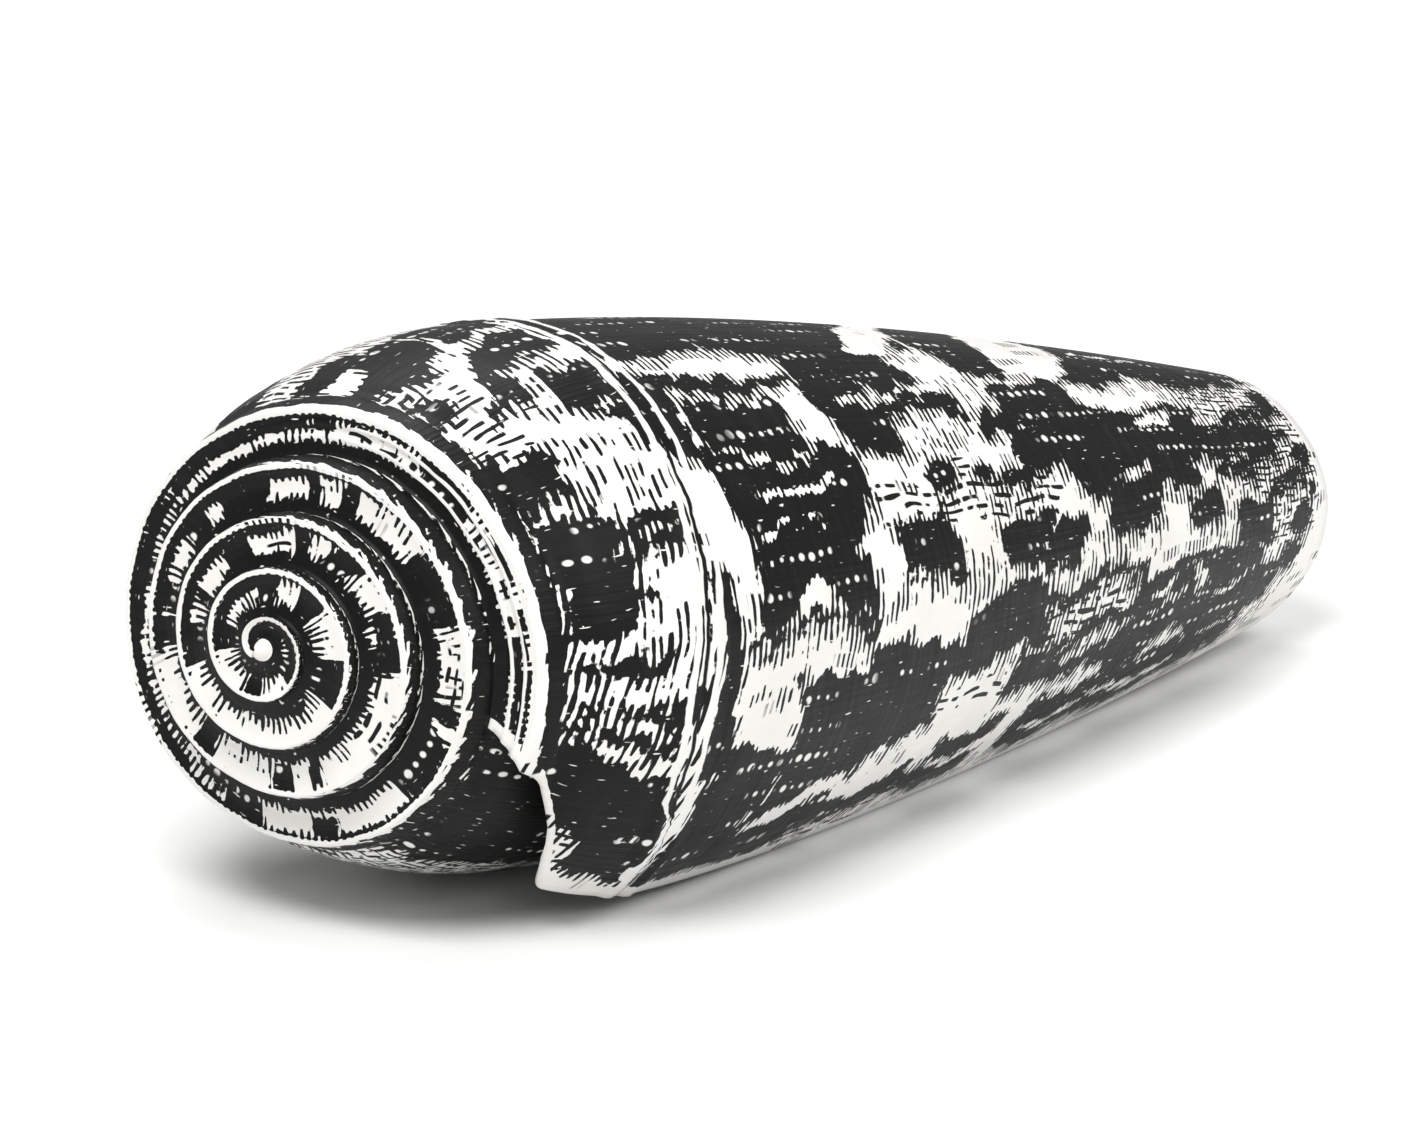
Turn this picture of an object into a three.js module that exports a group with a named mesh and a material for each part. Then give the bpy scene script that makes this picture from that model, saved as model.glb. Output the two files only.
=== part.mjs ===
// A cone shell lying on its mouth.
//
// The shell grew as one piece, so it is one closed solid: a wall that coils round one axis, from the
// small whorls of the spire to the thin outer lip. Millimetres. +X runs from the spire to the front
// end, +Z is up, and the origin is on the surface below the middle of the shell.
import * as THREE from 'three';

// Driving dimensions
const LENGTH = 88;              // along the axis, from the apex to the front end
const RIDGE_RADIUS = 13.3;      // the ridge round the spire, at the lip
const WIDEST_RADIUS = 17.0;     // the body at its widest, at the lip
const FRONT_RADIUS = 9.3;       // the front end, at the lip
const WIDEST_SHARE = 0.16;      // where the body is widest: share of the way from ridge to front end
const WIDTH_OVER_HEIGHT = 1.12; // the shell is a little flattened from back to mouth
const WHORLS = 5.14;            // turns from the apex to the lip
const SPIRE_HEIGHT = 5.8;       // from the apex to the ridge at the lip
const WALL = 1.5;               // wall inside the mouth
const LIP_WALL = 0.9;           // wall at the lip's edge

// How the coil grows
const SPIRE_CURVE = 2.0;        // above 1, the early whorls lie flatter than the last one
const RATIO_RIDGE = 0.79;       // size of a whorl over the size of the next one, at the ridge
const RATIO_FRONT = 0.5;        // the same at the front end, where the mouth is wider
const RATIO_CURVE = 3;          // above 1, the ratio changes mostly near the front end
const SHOULDER_POWER = 2.0;     // how fast the side rounds out below the ridge
const TAPER_POWER = 1.45;       // how it tapers from the widest place to the front end
const CROWDING = 0.02;          // early whorls show less of their side than the last one

// The stepped spire
const SUTURE_SHARE = 0.018;     // where the next whorl sits on this one's side
const ROOT_SHARE = 0.045;       // where the inside of its wall meets this one's side
const KEEL_HEIGHT = 0.35;       // the ridge stands this far above the ramp and the side
const KEEL_SHARE = 0.008;       // how far down the side the ridge reaches
const RAMP_CURVE = 3;           // above 1, the ramp lies flat at its root and rises to the ridge
const CHANNEL_DEPTH = 0.12;     // the ramp's hollow, as a share of the ramp's width

// The two ends of the axis
const NUB_TURN = 0.35;          // the coil starts this far from its mathematical centre
const NUB_HEIGHT = 0.3;         // the rounded nub there
const NUB_CLOSING = 0.6;        // how far the first ramp closes in on it
const FRONT_HOLLOW = 1.5;       // the pillar's end is hollowed by this much

// The lip, in turns round the axis
const LIP_SWEEP = 0.1;          // the lip at the suture lies this far behind the lip at the body
const RAMP_SWEEP = 0.18;        // share of that over which it comes forward along the ramp
const LIP_SWEEP_SHARE = 0.07;   // share of the side over which it comes forward the rest
const SWEEP_FADE = 0.35;        // the growth lines straighten out over this part of a turn
const CORNER_DROP = 3.5;        // the lip's front corner is rounded back by this much, in mm
const CORNER_TURN = 0.16;       // over this part of a turn
const LIP_AZIMUTH = 0.6448;     // where the lip is: 0 is towards +Y, a quarter turn is up
const QUARTER_TURN = 0.25;

// The mouth's channel
const CHANNEL_TURN = 0.85;      // how far it is open, back from the lip
const CHANNEL_FADE = 0.45;      // share of that length after which it closes up
const CHANNEL_CLOSING = 0.7;    // share of its width that has closed at its end
const CORNER_SHARE = 0.08;      // share of the side at which its rounded corner ends
const CORNER_BEND_X = 0.25;     // the corner's bend lies this far along from its start to its end
const CORNER_BEND_R = 0.6;      // and this far out
const LIP_THICKENING = 0.25;    // share of the channel over which the lip thickens to the wall
const EDGE_ROUNDING = 0.5;      // height of the rounded edge over the wall there

// How the shell rests
const REST_DIP = THREE.MathUtils.degToRad(5.3); // the front end lies lower than the spire

// Steps of the faceted solid
const TURN_STEPS = 48;
const RAMP_ROWS = 3;
const CREST_ROWS = 3;
const WALL_ROWS = 2;
const BODY_ROWS = 12;
const ROW_SPREAD = 1.3;         // above 1, the rows lie closer near the shoulder

const CREST_ROW = RAMP_ROWS;
const SUTURE_ROW = CREST_ROW + CREST_ROWS;
const ROOT_ROW = SUTURE_ROW + WALL_ROWS;
const FRONT_ROW = ROOT_ROW + BODY_ROWS;
const CHANNEL_STEPS = Math.round(CHANNEL_TURN * TURN_STEPS);
const APEX_STEP = Math.floor((WHORLS - LIP_SWEEP - NUB_TURN) * TURN_STEPS);

const smooth = (t) => THREE.MathUtils.smoothstep(t, 0, 1);
const mix = THREE.MathUtils.lerp;

// The share of the side, 0 at the ridge and 1 at the front end, that a row follows.
function rowShare(row) {
  if (row <= CREST_ROW) return 0;
  if (row <= SUTURE_ROW) return SUTURE_SHARE * (row - CREST_ROW) / CREST_ROWS;
  if (row <= ROOT_ROW) return mix(SUTURE_SHARE, ROOT_SHARE, (row - SUTURE_ROW) / WALL_ROWS);
  return mix(ROOT_SHARE, 1, ((row - ROOT_ROW) / BODY_ROWS) ** ROW_SPREAD);
}

// A length at some turn (0 at the lip, negative before it) over the same length at the lip.
function growth(turn, ratio) {
  const power = Math.log(ratio) / Math.log((WHORLS - 1) / WHORLS);
  return ((turn + WHORLS) / WHORLS) ** power;
}

function ridgeHeight(turn) {
  return SPIRE_HEIGHT * ((turn + WHORLS) / WHORLS) ** SPIRE_CURVE;
}

function sideRadius(share) {
  if (share < WIDEST_SHARE) {
    const rise = 1 - (1 - share / WIDEST_SHARE) ** SHOULDER_POWER;
    return mix(RIDGE_RADIUS, WIDEST_RADIUS, rise);
  }
  const fall = ((share - WIDEST_SHARE) / (1 - WIDEST_SHARE)) ** TAPER_POWER;
  return mix(WIDEST_RADIUS, FRONT_RADIUS, fall);
}

// A point of a whorl's outline: x along the axis from the apex, r from the axis.
function sidePoint(share, turn, frontEnd) {
  const ratio = mix(RATIO_RIDGE, RATIO_FRONT, share ** RATIO_CURVE);
  const size = growth(turn, RATIO_RIDGE);
  const ridge = ridgeHeight(turn);
  const keel = KEEL_HEIGHT * size * Math.exp(-((share / KEEL_SHARE) ** 2));
  return {
    x: ridge + (frontEnd - ridge) * share ** (1 + CROWDING * turn * turn) - keel,
    r: sideRadius(share) * growth(turn, ratio),
  };
}

// How far, in turns, a row's growth line is ahead of the suture.
function lineLead(step, row) {
  const turn = step / TURN_STEPS;
  const onRamp = RAMP_SWEEP * Math.min(1, row / CREST_ROW);
  const forward = mix(onRamp, 1, smooth(rowShare(row) / LIP_SWEEP_SHARE));
  return LIP_SWEEP * forward * (1 - smooth(turn / SWEEP_FADE));
}

function turnAt(step, row) {
  return lineLead(step, row) - LIP_SWEEP - step / TURN_STEPS;
}

function frontEndAt(step) {
  const corner = Math.max(0, 1 - step / (CORNER_TURN * TURN_STEPS));
  return LENGTH - CORNER_DROP * corner * corner;
}

// The inner edge of a ramp, on the side of the whorl before. The first whorl has none before it, so
// its ramp closes in on the nub at the apex.
function rampRoot(step) {
  const before = Math.min(step + TURN_STEPS, APEX_STEP);
  const point = sidePoint(SUTURE_SHARE, turnAt(before, SUTURE_ROW), LENGTH);
  const missing = (step + TURN_STEPS - before) / TURN_STEPS;
  return { x: point.x, r: point.r * (1 - NUB_CLOSING * missing) };
}

function outline(step, row) {
  const turn = turnAt(step, row);
  if (row >= CREST_ROW) return sidePoint(rowShare(row), turn, frontEndAt(step));
  const across = row / CREST_ROW;
  const root = rampRoot(step);
  const crest = sidePoint(0, turn, LENGTH);
  const hollow = CHANNEL_DEPTH * (crest.r - root.r) * Math.sin(Math.PI * across);
  return { x: mix(root.x, crest.x, across ** RAMP_CURVE) + hollow, r: mix(root.r, crest.r, across) };
}

function place({ x, r }, turn) {
  const angle = 2 * Math.PI * (LIP_AZIMUTH + turn);
  return new THREE.Vector3(x, WIDTH_OVER_HEIGHT * r * Math.cos(angle), r * Math.sin(angle));
}

// The inside of the wall, where the channel of the mouth is open. It starts on the whorl before,
// rounds the channel's corner below the ridge, and runs down the side one wall inside it.
function insideOutline(step, row) {
  const cornerRow = firstRowPast(CORNER_SHARE);
  if (row >= cornerRow) return insideSide(step, row);
  const turn = turnAt(step, row);
  const start = sidePoint(ROOT_SHARE, turn - 1, LENGTH);
  const end = insideSide(step, cornerRow);
  const t = row / cornerRow;
  const bend = { x: mix(start.x, end.x, CORNER_BEND_X), r: mix(start.r, end.r, CORNER_BEND_R) };
  const curve = (a, b, c) => (1 - t) ** 2 * a + 2 * t * (1 - t) * b + t * t * c;
  return { x: curve(start.x, bend.x, end.x), r: curve(start.r, bend.r, end.r) };
}

function insideSide(step, row) {
  const turn = turnAt(step, row);
  const share = rowShare(row);
  const outer = sidePoint(share, turn, frontEndAt(step));
  const before = sidePoint(share, turn - 1, frontEndAt(step));
  const along = step / CHANNEL_STEPS;
  const wall = mix(LIP_WALL, WALL, smooth(along / LIP_THICKENING));
  const gap = outer.r - before.r - wall;
  const closing = CHANNEL_CLOSING * gap * smooth((along - CHANNEL_FADE) / (1 - CHANNEL_FADE));
  return { x: outer.x, r: outer.r - wall - closing };
}

function firstRowPast(share) {
  let row = ROOT_ROW;
  while (rowShare(row) < share) row += 1;
  return row;
}

// Builds the closed surface. Every vertex has a name, so that places where two stretches of the wall
// meet share one vertex.
function shellGeometry() {
  const positions = [];
  const triangles = [];
  const byName = new Map();

  function vertex(name, point) {
    if (!byName.has(name)) {
      byName.set(name, positions.length / 3);
      positions.push(...point().toArray());
    }
    return byName.get(name);
  }

  function outer(step, row) {
    if (row === 0 && step + TURN_STEPS <= APEX_STEP) return outer(step + TURN_STEPS, SUTURE_ROW);
    return vertex(`outer ${step} ${row}`, () => place(outline(step, row), turnAt(step, row)));
  }

  function inner(step, row) {
    if (row === 0) return outer(step + TURN_STEPS, ROOT_ROW);
    return vertex(`inner ${step} ${row}`, () => place(insideOutline(step, row), turnAt(step, row)));
  }

  // The rounded edge from the outside to the inside of the wall, across WALL_ROWS facets.
  function edge(step, row, across) {
    if (across === 0) return outer(step, row);
    if (across === WALL_ROWS) return inner(step, row);
    if (row === 0) return outer(step + TURN_STEPS, SUTURE_ROW + across);
    return vertex(`edge ${step} ${row} ${across}`, () => edgePoint(step, row, across));
  }

  function edgePoint(step, row, across) {
    const share = across / WALL_ROWS;
    const turn = turnAt(step, row);
    const point = place(outline(step, row), turn).lerp(place(insideOutline(step, row), turn), share);
    const bulge = EDGE_ROUNDING * LIP_WALL * Math.sin(Math.PI * share);
    const ahead = place({ x: 0, r: 1 }, turn + QUARTER_TURN);
    if (row < FRONT_ROW) return point.addScaledVector(ahead, step === 0 ? bulge : 0);
    return point.add(new THREE.Vector3(bulge, 0, 0));
  }

  function quad(a, b, c, d) {
    triangles.push(a, b, c, a, c, d);
  }

  function fan(loop, centre) {
    loop.forEach((a, n) => triangles.push(a, loop[(n + 1) % loop.length], centre));
  }

  function addOutside() {
    for (let step = 0; step < APEX_STEP; step += 1) {
      const lastRow = step < TURN_STEPS ? FRONT_ROW : SUTURE_ROW;
      addRows(step, 0, lastRow);
      if (step >= TURN_STEPS && step < TURN_STEPS + CHANNEL_STEPS) addRows(step, ROOT_ROW, FRONT_ROW);
    }
  }

  function addRows(step, first, last) {
    for (let row = first; row < last; row += 1) {
      quad(outer(step, row), outer(step, row + 1), outer(step + 1, row + 1), outer(step + 1, row));
    }
  }

  function addInside() {
    for (let step = 0; step < CHANNEL_STEPS; step += 1) {
      for (let row = 0; row < FRONT_ROW; row += 1) {
        quad(inner(step, row), inner(step + 1, row), inner(step + 1, row + 1), inner(step, row + 1));
      }
    }
  }

  function addEdges() {
    for (let across = 0; across < WALL_ROWS; across += 1) {
      for (let row = 0; row < FRONT_ROW; row += 1) {
        quad(edge(0, row + 1, across), edge(0, row, across),
          edge(0, row, across + 1), edge(0, row + 1, across + 1));
      }
      for (let step = 0; step < CHANNEL_STEPS; step += 1) {
        quad(edge(step + 1, FRONT_ROW, across), edge(step, FRONT_ROW, across),
          edge(step, FRONT_ROW, across + 1), edge(step + 1, FRONT_ROW, across + 1));
      }
    }
  }

  // The end of the channel, a narrow strip between the inside of the wall and the whorl before.
  function addChannelEnd() {
    const end = TURN_STEPS + CHANNEL_STEPS;
    let near = ROOT_ROW;
    let far = 0;
    while (near < FRONT_ROW || far < FRONT_ROW) {
      const nearLags = rowShare(near) < rowShare(far) || far === FRONT_ROW;
      if (near < FRONT_ROW && nearLags) {
        triangles.push(outer(end, near), outer(end, near + 1), inner(CHANNEL_STEPS, far));
        near += 1;
      } else {
        if (far > 0 || near > ROOT_ROW) {
          triangles.push(outer(end, near), inner(CHANNEL_STEPS, far + 1), inner(CHANNEL_STEPS, far));
        }
        far += 1;
      }
    }
  }

  function addFrontEnd() {
    const loop = [];
    for (let step = CHANNEL_STEPS + TURN_STEPS; step >= CHANNEL_STEPS; step -= 1) {
      loop.push(outer(step, FRONT_ROW));
    }
    for (let across = 1; across <= WALL_ROWS; across += 1) {
      loop.push(edge(CHANNEL_STEPS, FRONT_ROW, across));
    }
    fan(loop, vertex('front', () => new THREE.Vector3(LENGTH - FRONT_HOLLOW, 0, 0)));
  }

  function addApex() {
    const loop = [];
    for (let step = APEX_STEP - TURN_STEPS; step < APEX_STEP; step += 1) {
      loop.push(outer(step, 0));
    }
    for (let row = 0; row < SUTURE_ROW; row += 1) {
      loop.push(outer(APEX_STEP, row));
    }
    fan(loop, vertex('apex', () => new THREE.Vector3(-NUB_HEIGHT, 0, 0)));
  }

  addOutside();
  addInside();
  addEdges();
  addChannelEnd();
  addFrontEnd();
  addApex();

  const geometry = new THREE.BufferGeometry();
  geometry.setAttribute('position', new THREE.Float32BufferAttribute(positions, 3));
  geometry.setIndex(triangles);
  geometry.computeVertexNormals();
  return geometry;
}

function shellMaterial() {
  return new THREE.MeshStandardMaterial({ color: 0xd9d5cc, roughness: 0.35, metalness: 0 });
}

// Lays the shell down and sets the origin on the surface below its middle.
function layDown(mesh) {
  mesh.rotation.y = REST_DIP;
  mesh.updateMatrixWorld();
  const box = new THREE.Box3().setFromObject(mesh, true);
  const middle = box.getCenter(new THREE.Vector3());
  mesh.position.set(-middle.x, -middle.y, -box.min.z);
}

const shell = new THREE.Mesh(shellGeometry(), shellMaterial());
shell.name = 'shell';
layDown(shell);

const group = new THREE.Group();
group.add(shell);
export default group;
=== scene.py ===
# The looks of a cone shell that lies on its mouth: its fine surface, its markings, and the stage.
#
# The coil is worked out in millimetres in the shell's own frame, where +X runs along the axis from the
# apex to the front end, and is then laid down in the box that the frame gives, in metres.
import math
import random

import bpy
import numpy as np
from mathutils import Matrix, Vector


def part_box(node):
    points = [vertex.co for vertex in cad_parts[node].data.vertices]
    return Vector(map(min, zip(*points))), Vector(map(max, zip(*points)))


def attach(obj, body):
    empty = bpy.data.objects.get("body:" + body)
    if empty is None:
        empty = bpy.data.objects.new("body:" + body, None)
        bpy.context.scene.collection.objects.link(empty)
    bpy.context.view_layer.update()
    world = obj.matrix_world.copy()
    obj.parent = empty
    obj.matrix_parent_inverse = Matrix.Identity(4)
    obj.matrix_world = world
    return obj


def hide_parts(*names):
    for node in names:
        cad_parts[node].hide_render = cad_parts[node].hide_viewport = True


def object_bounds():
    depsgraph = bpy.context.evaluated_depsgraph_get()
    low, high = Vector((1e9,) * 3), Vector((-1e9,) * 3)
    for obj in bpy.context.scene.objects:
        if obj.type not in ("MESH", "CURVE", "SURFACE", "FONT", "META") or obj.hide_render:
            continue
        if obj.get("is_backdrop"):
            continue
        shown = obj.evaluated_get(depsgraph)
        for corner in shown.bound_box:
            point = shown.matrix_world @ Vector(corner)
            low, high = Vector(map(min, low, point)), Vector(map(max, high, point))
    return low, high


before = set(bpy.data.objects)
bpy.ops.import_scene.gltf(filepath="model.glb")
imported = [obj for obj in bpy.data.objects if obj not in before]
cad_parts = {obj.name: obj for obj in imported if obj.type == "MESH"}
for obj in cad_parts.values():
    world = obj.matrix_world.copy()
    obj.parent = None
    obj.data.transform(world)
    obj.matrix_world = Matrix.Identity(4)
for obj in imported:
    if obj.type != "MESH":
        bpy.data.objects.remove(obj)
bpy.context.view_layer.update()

# Driving dimensions
LENGTH = 88.0              # along the axis, from the apex to the front end
RIDGE_RADIUS = 13.3        # the ridge round the spire, at the lip
WIDEST_RADIUS = 17.0       # the body at its widest, at the lip
FRONT_RADIUS = 9.3         # the front end, at the lip
WIDEST_SHARE = 0.16        # where the body is widest: share of the way from ridge to front end
WIDTH_OVER_HEIGHT = 1.12   # the shell is a little flattened from back to mouth
WHORLS = 5.14              # turns from the apex to the lip
SPIRE_HEIGHT = 5.8         # from the apex to the ridge at the lip
WALL = 1.5                 # wall inside the mouth
LIP_WALL = 0.9             # wall at the lip's edge

# How the coil grows
SPIRE_CURVE = 2.0          # above 1, the early whorls lie flatter than the last one
RATIO_RIDGE = 0.79         # size of a whorl over the size of the next one, at the ridge
RATIO_FRONT = 0.5          # the same at the front end, where the mouth is wider
RATIO_CURVE = 3            # above 1, the ratio changes mostly near the front end
SHOULDER_POWER = 2.0       # how fast the side rounds out below the ridge
TAPER_POWER = 1.45         # how it tapers from the widest place to the front end
CROWDING = 0.02            # early whorls show less of their side than the last one

# The stepped spire
SUTURE_SHARE = 0.018       # where the next whorl sits on this one's side
ROOT_SHARE = 0.045         # where the inside of its wall meets this one's side
KEEL_HEIGHT = 0.35         # the ridge stands this far above the ramp and the side
KEEL_SHARE = 0.008         # how far down the side the ridge reaches
RAMP_CURVE = 3             # above 1, the ramp lies flat at its root and rises to the ridge
CHANNEL_DEPTH = 0.12       # the ramp's hollow, as a share of the ramp's width

# The two ends of the axis
NUB_TURN = 0.35            # the coil starts this far from its mathematical centre
NUB_HEIGHT = 0.3           # the rounded nub there
NUB_CLOSING = 0.6          # how far the first ramp closes in on it
FRONT_HOLLOW = 1.5         # the pillar's end is hollowed by this much

# The lip, in turns round the axis
LIP_SWEEP = 0.1            # the lip at the suture lies this far behind the lip at the body
RAMP_SWEEP = 0.18          # share of that over which it comes forward along the ramp
LIP_SWEEP_SHARE = 0.07     # share of the side over which it comes forward the rest
SWEEP_FADE = 0.35          # the growth lines straighten out over this part of a turn
CORNER_DROP = 3.5          # the lip's front corner is rounded back by this much, in mm
CORNER_TURN = 0.16         # over this part of a turn
LIP_AZIMUTH = 0.6448       # where the lip is: 0 is towards +Y, a quarter turn is up
QUARTER_TURN = 0.25
HUNDREDTHS = 100           # of a turn

# The mouth's channel
CHANNEL_TURN = 0.85        # how far it is open, back from the lip
CHANNEL_FADE = 0.45        # share of that length after which it closes up
CHANNEL_CLOSING = 0.7      # share of its width that has closed at its end
CORNER_SHARE = 0.08        # share of the side at which its rounded corner ends
CORNER_BEND_X = 0.25       # the corner's bend lies this far along from its start to its end
CORNER_BEND_R = 0.6        # and this far out
LIP_THICKENING = 0.25      # share of the channel over which the lip thickens to the wall
EDGE_ROUNDING = 0.5        # height of the rounded edge over the wall there

REST_DIP = math.radians(5.3)  # the front end lies lower than the spire
FORWARD = np.array([1.0, 0.0, 0.0])

# Steps of the fine mesh
TURN_STEPS = 208
RAMP_ROWS = 16
CREST_ROWS = 7
WALL_ROWS = 4
BODY_ROWS = 108
ROW_SPREAD = 1.4           # above 1, the rows lie closer near the shoulder
END_RINGS = 6

CREST_ROW = RAMP_ROWS
SUTURE_ROW = CREST_ROW + CREST_ROWS
ROOT_ROW = SUTURE_ROW + WALL_ROWS
FRONT_ROW = ROOT_ROW + BODY_ROWS
CHANNEL_STEPS = round(CHANNEL_TURN * TURN_STEPS)
APEX_STEP = math.floor((WHORLS - LIP_SWEEP - NUB_TURN) * TURN_STEPS)

# Fine relief, in mm unless said otherwise
CORD_PLACES = (0.34, 0.66)   # cords run along the last ramp, at these shares of its width
CORD_WIDTH = 0.07            # as a share of the ramp's width
CORD_HEIGHT = 0.16
CORD_TURNS = 0.36            # turns back from the lip at which the cords have faded
CORD_FADE = 0.12
GROOVE_SHARE = 0.021         # a shallow groove runs round the side just below the ridge
GROOVE_WIDTH = 0.006         # as a share of the side
GROOVE_DEPTH = 0.25
SCAR_PLACE = 8.2             # the old lip's scar, a double ring round the body, lies this far along
SCAR_DRIFT = 8.0             # how much further along it lies round the back
SCAR_TURN = 0.5              # where it has drifted that far
SCAR_CURVE = 1.4
SCAR_BEND = 3.0              # how much further along it lies at the lip
SCAR_BEND_TURN = 0.07        # over about this part of a turn
SCAR_START = (0.03, 0.07)    # turns back from the lip over which its lines appear
SCAR_GAP = 0.8               # each of its two rings lies this far from its middle
SCAR_WIDTH = 0.5             # half of each ring's width
SCAR_HEIGHT = 0.2
WAVES = ((5, 0.004), (17, 0.002), (61, 0.0008))  # left by growth: waves in a turn, height over radius

# Light lines and dark lines that run round the shell, in mm. The dark lines below the ridge, at a
# ramp's root and inside the ridge are painted shadow and shade.
RIM_WIDTH = 0.7              # the lip and the front end have a light rim
KEEL_LINE = 0.22             # half the width of the light line on the ridge
KEEL_WIDENING = 0.4          # it is wider over this part of a turn, up to the lip
WALL_SHADOW_LINE = 0.5              # half the width of the painted shadow line below it, on the step down to the suture
WALL_SHADOW_PLACE = 0.8        # how far below the ridge that painted shadow lies
CORD_RANGE = 0.16            # the cords' light lines lie this far from the ramp's middle, as a share
ROOT_SHADOW_LINE = 0.55             # width of the painted shadow line at a ramp's root, where the suture lies in shadow
CHANNEL_SHADE_LINE = 0.5             # width of the painted shade line inside the ridge, in the channel, where it is widest
CHANNEL_SHADE_PLACE = 0.47      # turns back from the lip, in each whorl, at which the painted shade is widest
CHANNEL_SHADE_REACH = 0.24
NO_CHANNEL_SHADE = -0.45              # where the painted shade has faded, it lies this far inside the ridge's light line
RING_LINE = 0.34             # half the width of a light ring, over the rings' distance from the middle
MIDDLE_LINE = 0.22           # the same for the dark line between the scar's two rings
NO_RING = 9.0                # moves a ring's lines away to where there are none

# How the patches are drawn, in mm. A patch's edge is as steep as the number that it is given here:
# the less steep, the further the strokes reach out of it.
FEATHERED = 0.5
CRISP = 1.5
LIGHT_CRISP = 2.5            # light patches and streaks
SHARP = 12.0                 # light lines
RAMP_CRISP = 1.5             # all patches on the ramps are steeper by this factor
SPREAD = 0.12                # every dark patch is drawn this much larger
BARE = -3.0                  # depth of the bare ground, well away from any patch
HATCH_DEPTH = -0.24          # depth at which strokes cover about a third of the ground
RAMP_GROUND = (-0.75, -1.6)  # depth of the ramps' ground, at the root and at the ridge
# The side's patches waver in waves: how fast each one runs along and round the shell, and its size
WAVERS = ((0.41, 0.52, 0.35), (0.23, -0.61, 0.4), (1.1, 0.37, 0.15), (0.9, 2.3, 0.25))
MEAN_TURN_LENGTH = 92.0      # one turn in the pattern's own coordinates
PILLAR_FADE = 0.2            # turns past the first over which the markings fade to porcelain
RAMP_PATTERN_START = 500.0   # the ramps' pattern starts this far from the side's

# Markings. A patch is (tone, from, to, start, end, slant). On the side, from and to are millimetres
# along the axis from the ridge; start and end are hundredths of a turn back from the lip; slant is
# how far, in millimetres, the patch leans along the axis for each hundredth of a turn. Hatched patches
# have strokes round the shell, stacked ones have strokes along it, and crossed ones have both.
DARK, LIGHT, HATCH, STACK, CROSS = "dark", "light", "hatch", "stack", "cross"

SHOULDER_PATCHES = (
    (CROSS, 0.5, 5, 0, 6, 0),
    (DARK, 1, 9.3, 4.5, 9.3, 0),
    (DARK, 4.4, 9.3, 1.5, 5, 0),
    (HATCH, 7, 9.3, 10, 15, 0),
    (HATCH, 0.8, 4, 9.3, 10.4, 0),
    (DARK, 1, 8.5, 10.5, 11.2, 0),
    (DARK, 1, 7, 12.3, 12.9, 0),
    (DARK, 1.2, 6.5, 14.5, 15.3, 0),
    (DARK, 7.2, 9.4, 12, 13.6, 0),
    (HATCH, 1, 9.5, 15.4, 17, 0),
    (DARK, 2, 5.2, 17.3, 21, 0.3),
    (DARK, 4, 6.6, 18.4, 19.6, 0),
    (DARK, 0.8, 1.5, 17.5, 20, 0),
    (DARK, 1, 5.2, 20.6, 24, 0),
    (DARK, 5, 10, 20.6, 21.4, 0),
    (DARK, 5.3, 10.2, 22, 23, 0),
    (HATCH, 5.4, 10, 24, 26, 0),
    (DARK, 1, 4.4, 25, 27.6, -0.15),
    (DARK, 0.8, 2.4, 27, 29, 0),
    (HATCH, 5, 10, 27.2, 28, 0),
    (HATCH, 5, 10, 29.7, 30.3, 0),
    (STACK, 1.6, 4.2, 28, 31.4, 0),
    (STACK, 2, 3.9, 31.6, 37, 0),
    (STACK, 5.5, 7.2, 30.6, 32, 0),
    (DARK, 10, 12.3, 27.4, 29.8, 0),
    (DARK, 9, 12.4, 30.3, 33, 0.3),
    (DARK, 4.6, 7.4, 31.4, 33.4, 0.6),
    (HATCH, 7, 9.4, 32.4, 33.8, 0),
    (DARK, 7, 12.4, 34.4, 37.2, 0.2),
    (DARK, 6, 7.4, 33.8, 36, 0.4),
    (DARK, 1, 2.4, 33, 35, 0.2),
    (DARK, 2.6, 5.6, 36.8, 39.6, 0.6),
    (DARK, 3.6, 8, 39, 42.6, 0.6),
    (DARK, 8.6, 13.8, 38.4, 43, 0.4),
    (DARK, 0.4, 5.4, 37, 43.8, 0.2),
    (LIGHT, 1.4, 3.9, 39.1, 41.7, 0),
)

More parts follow.
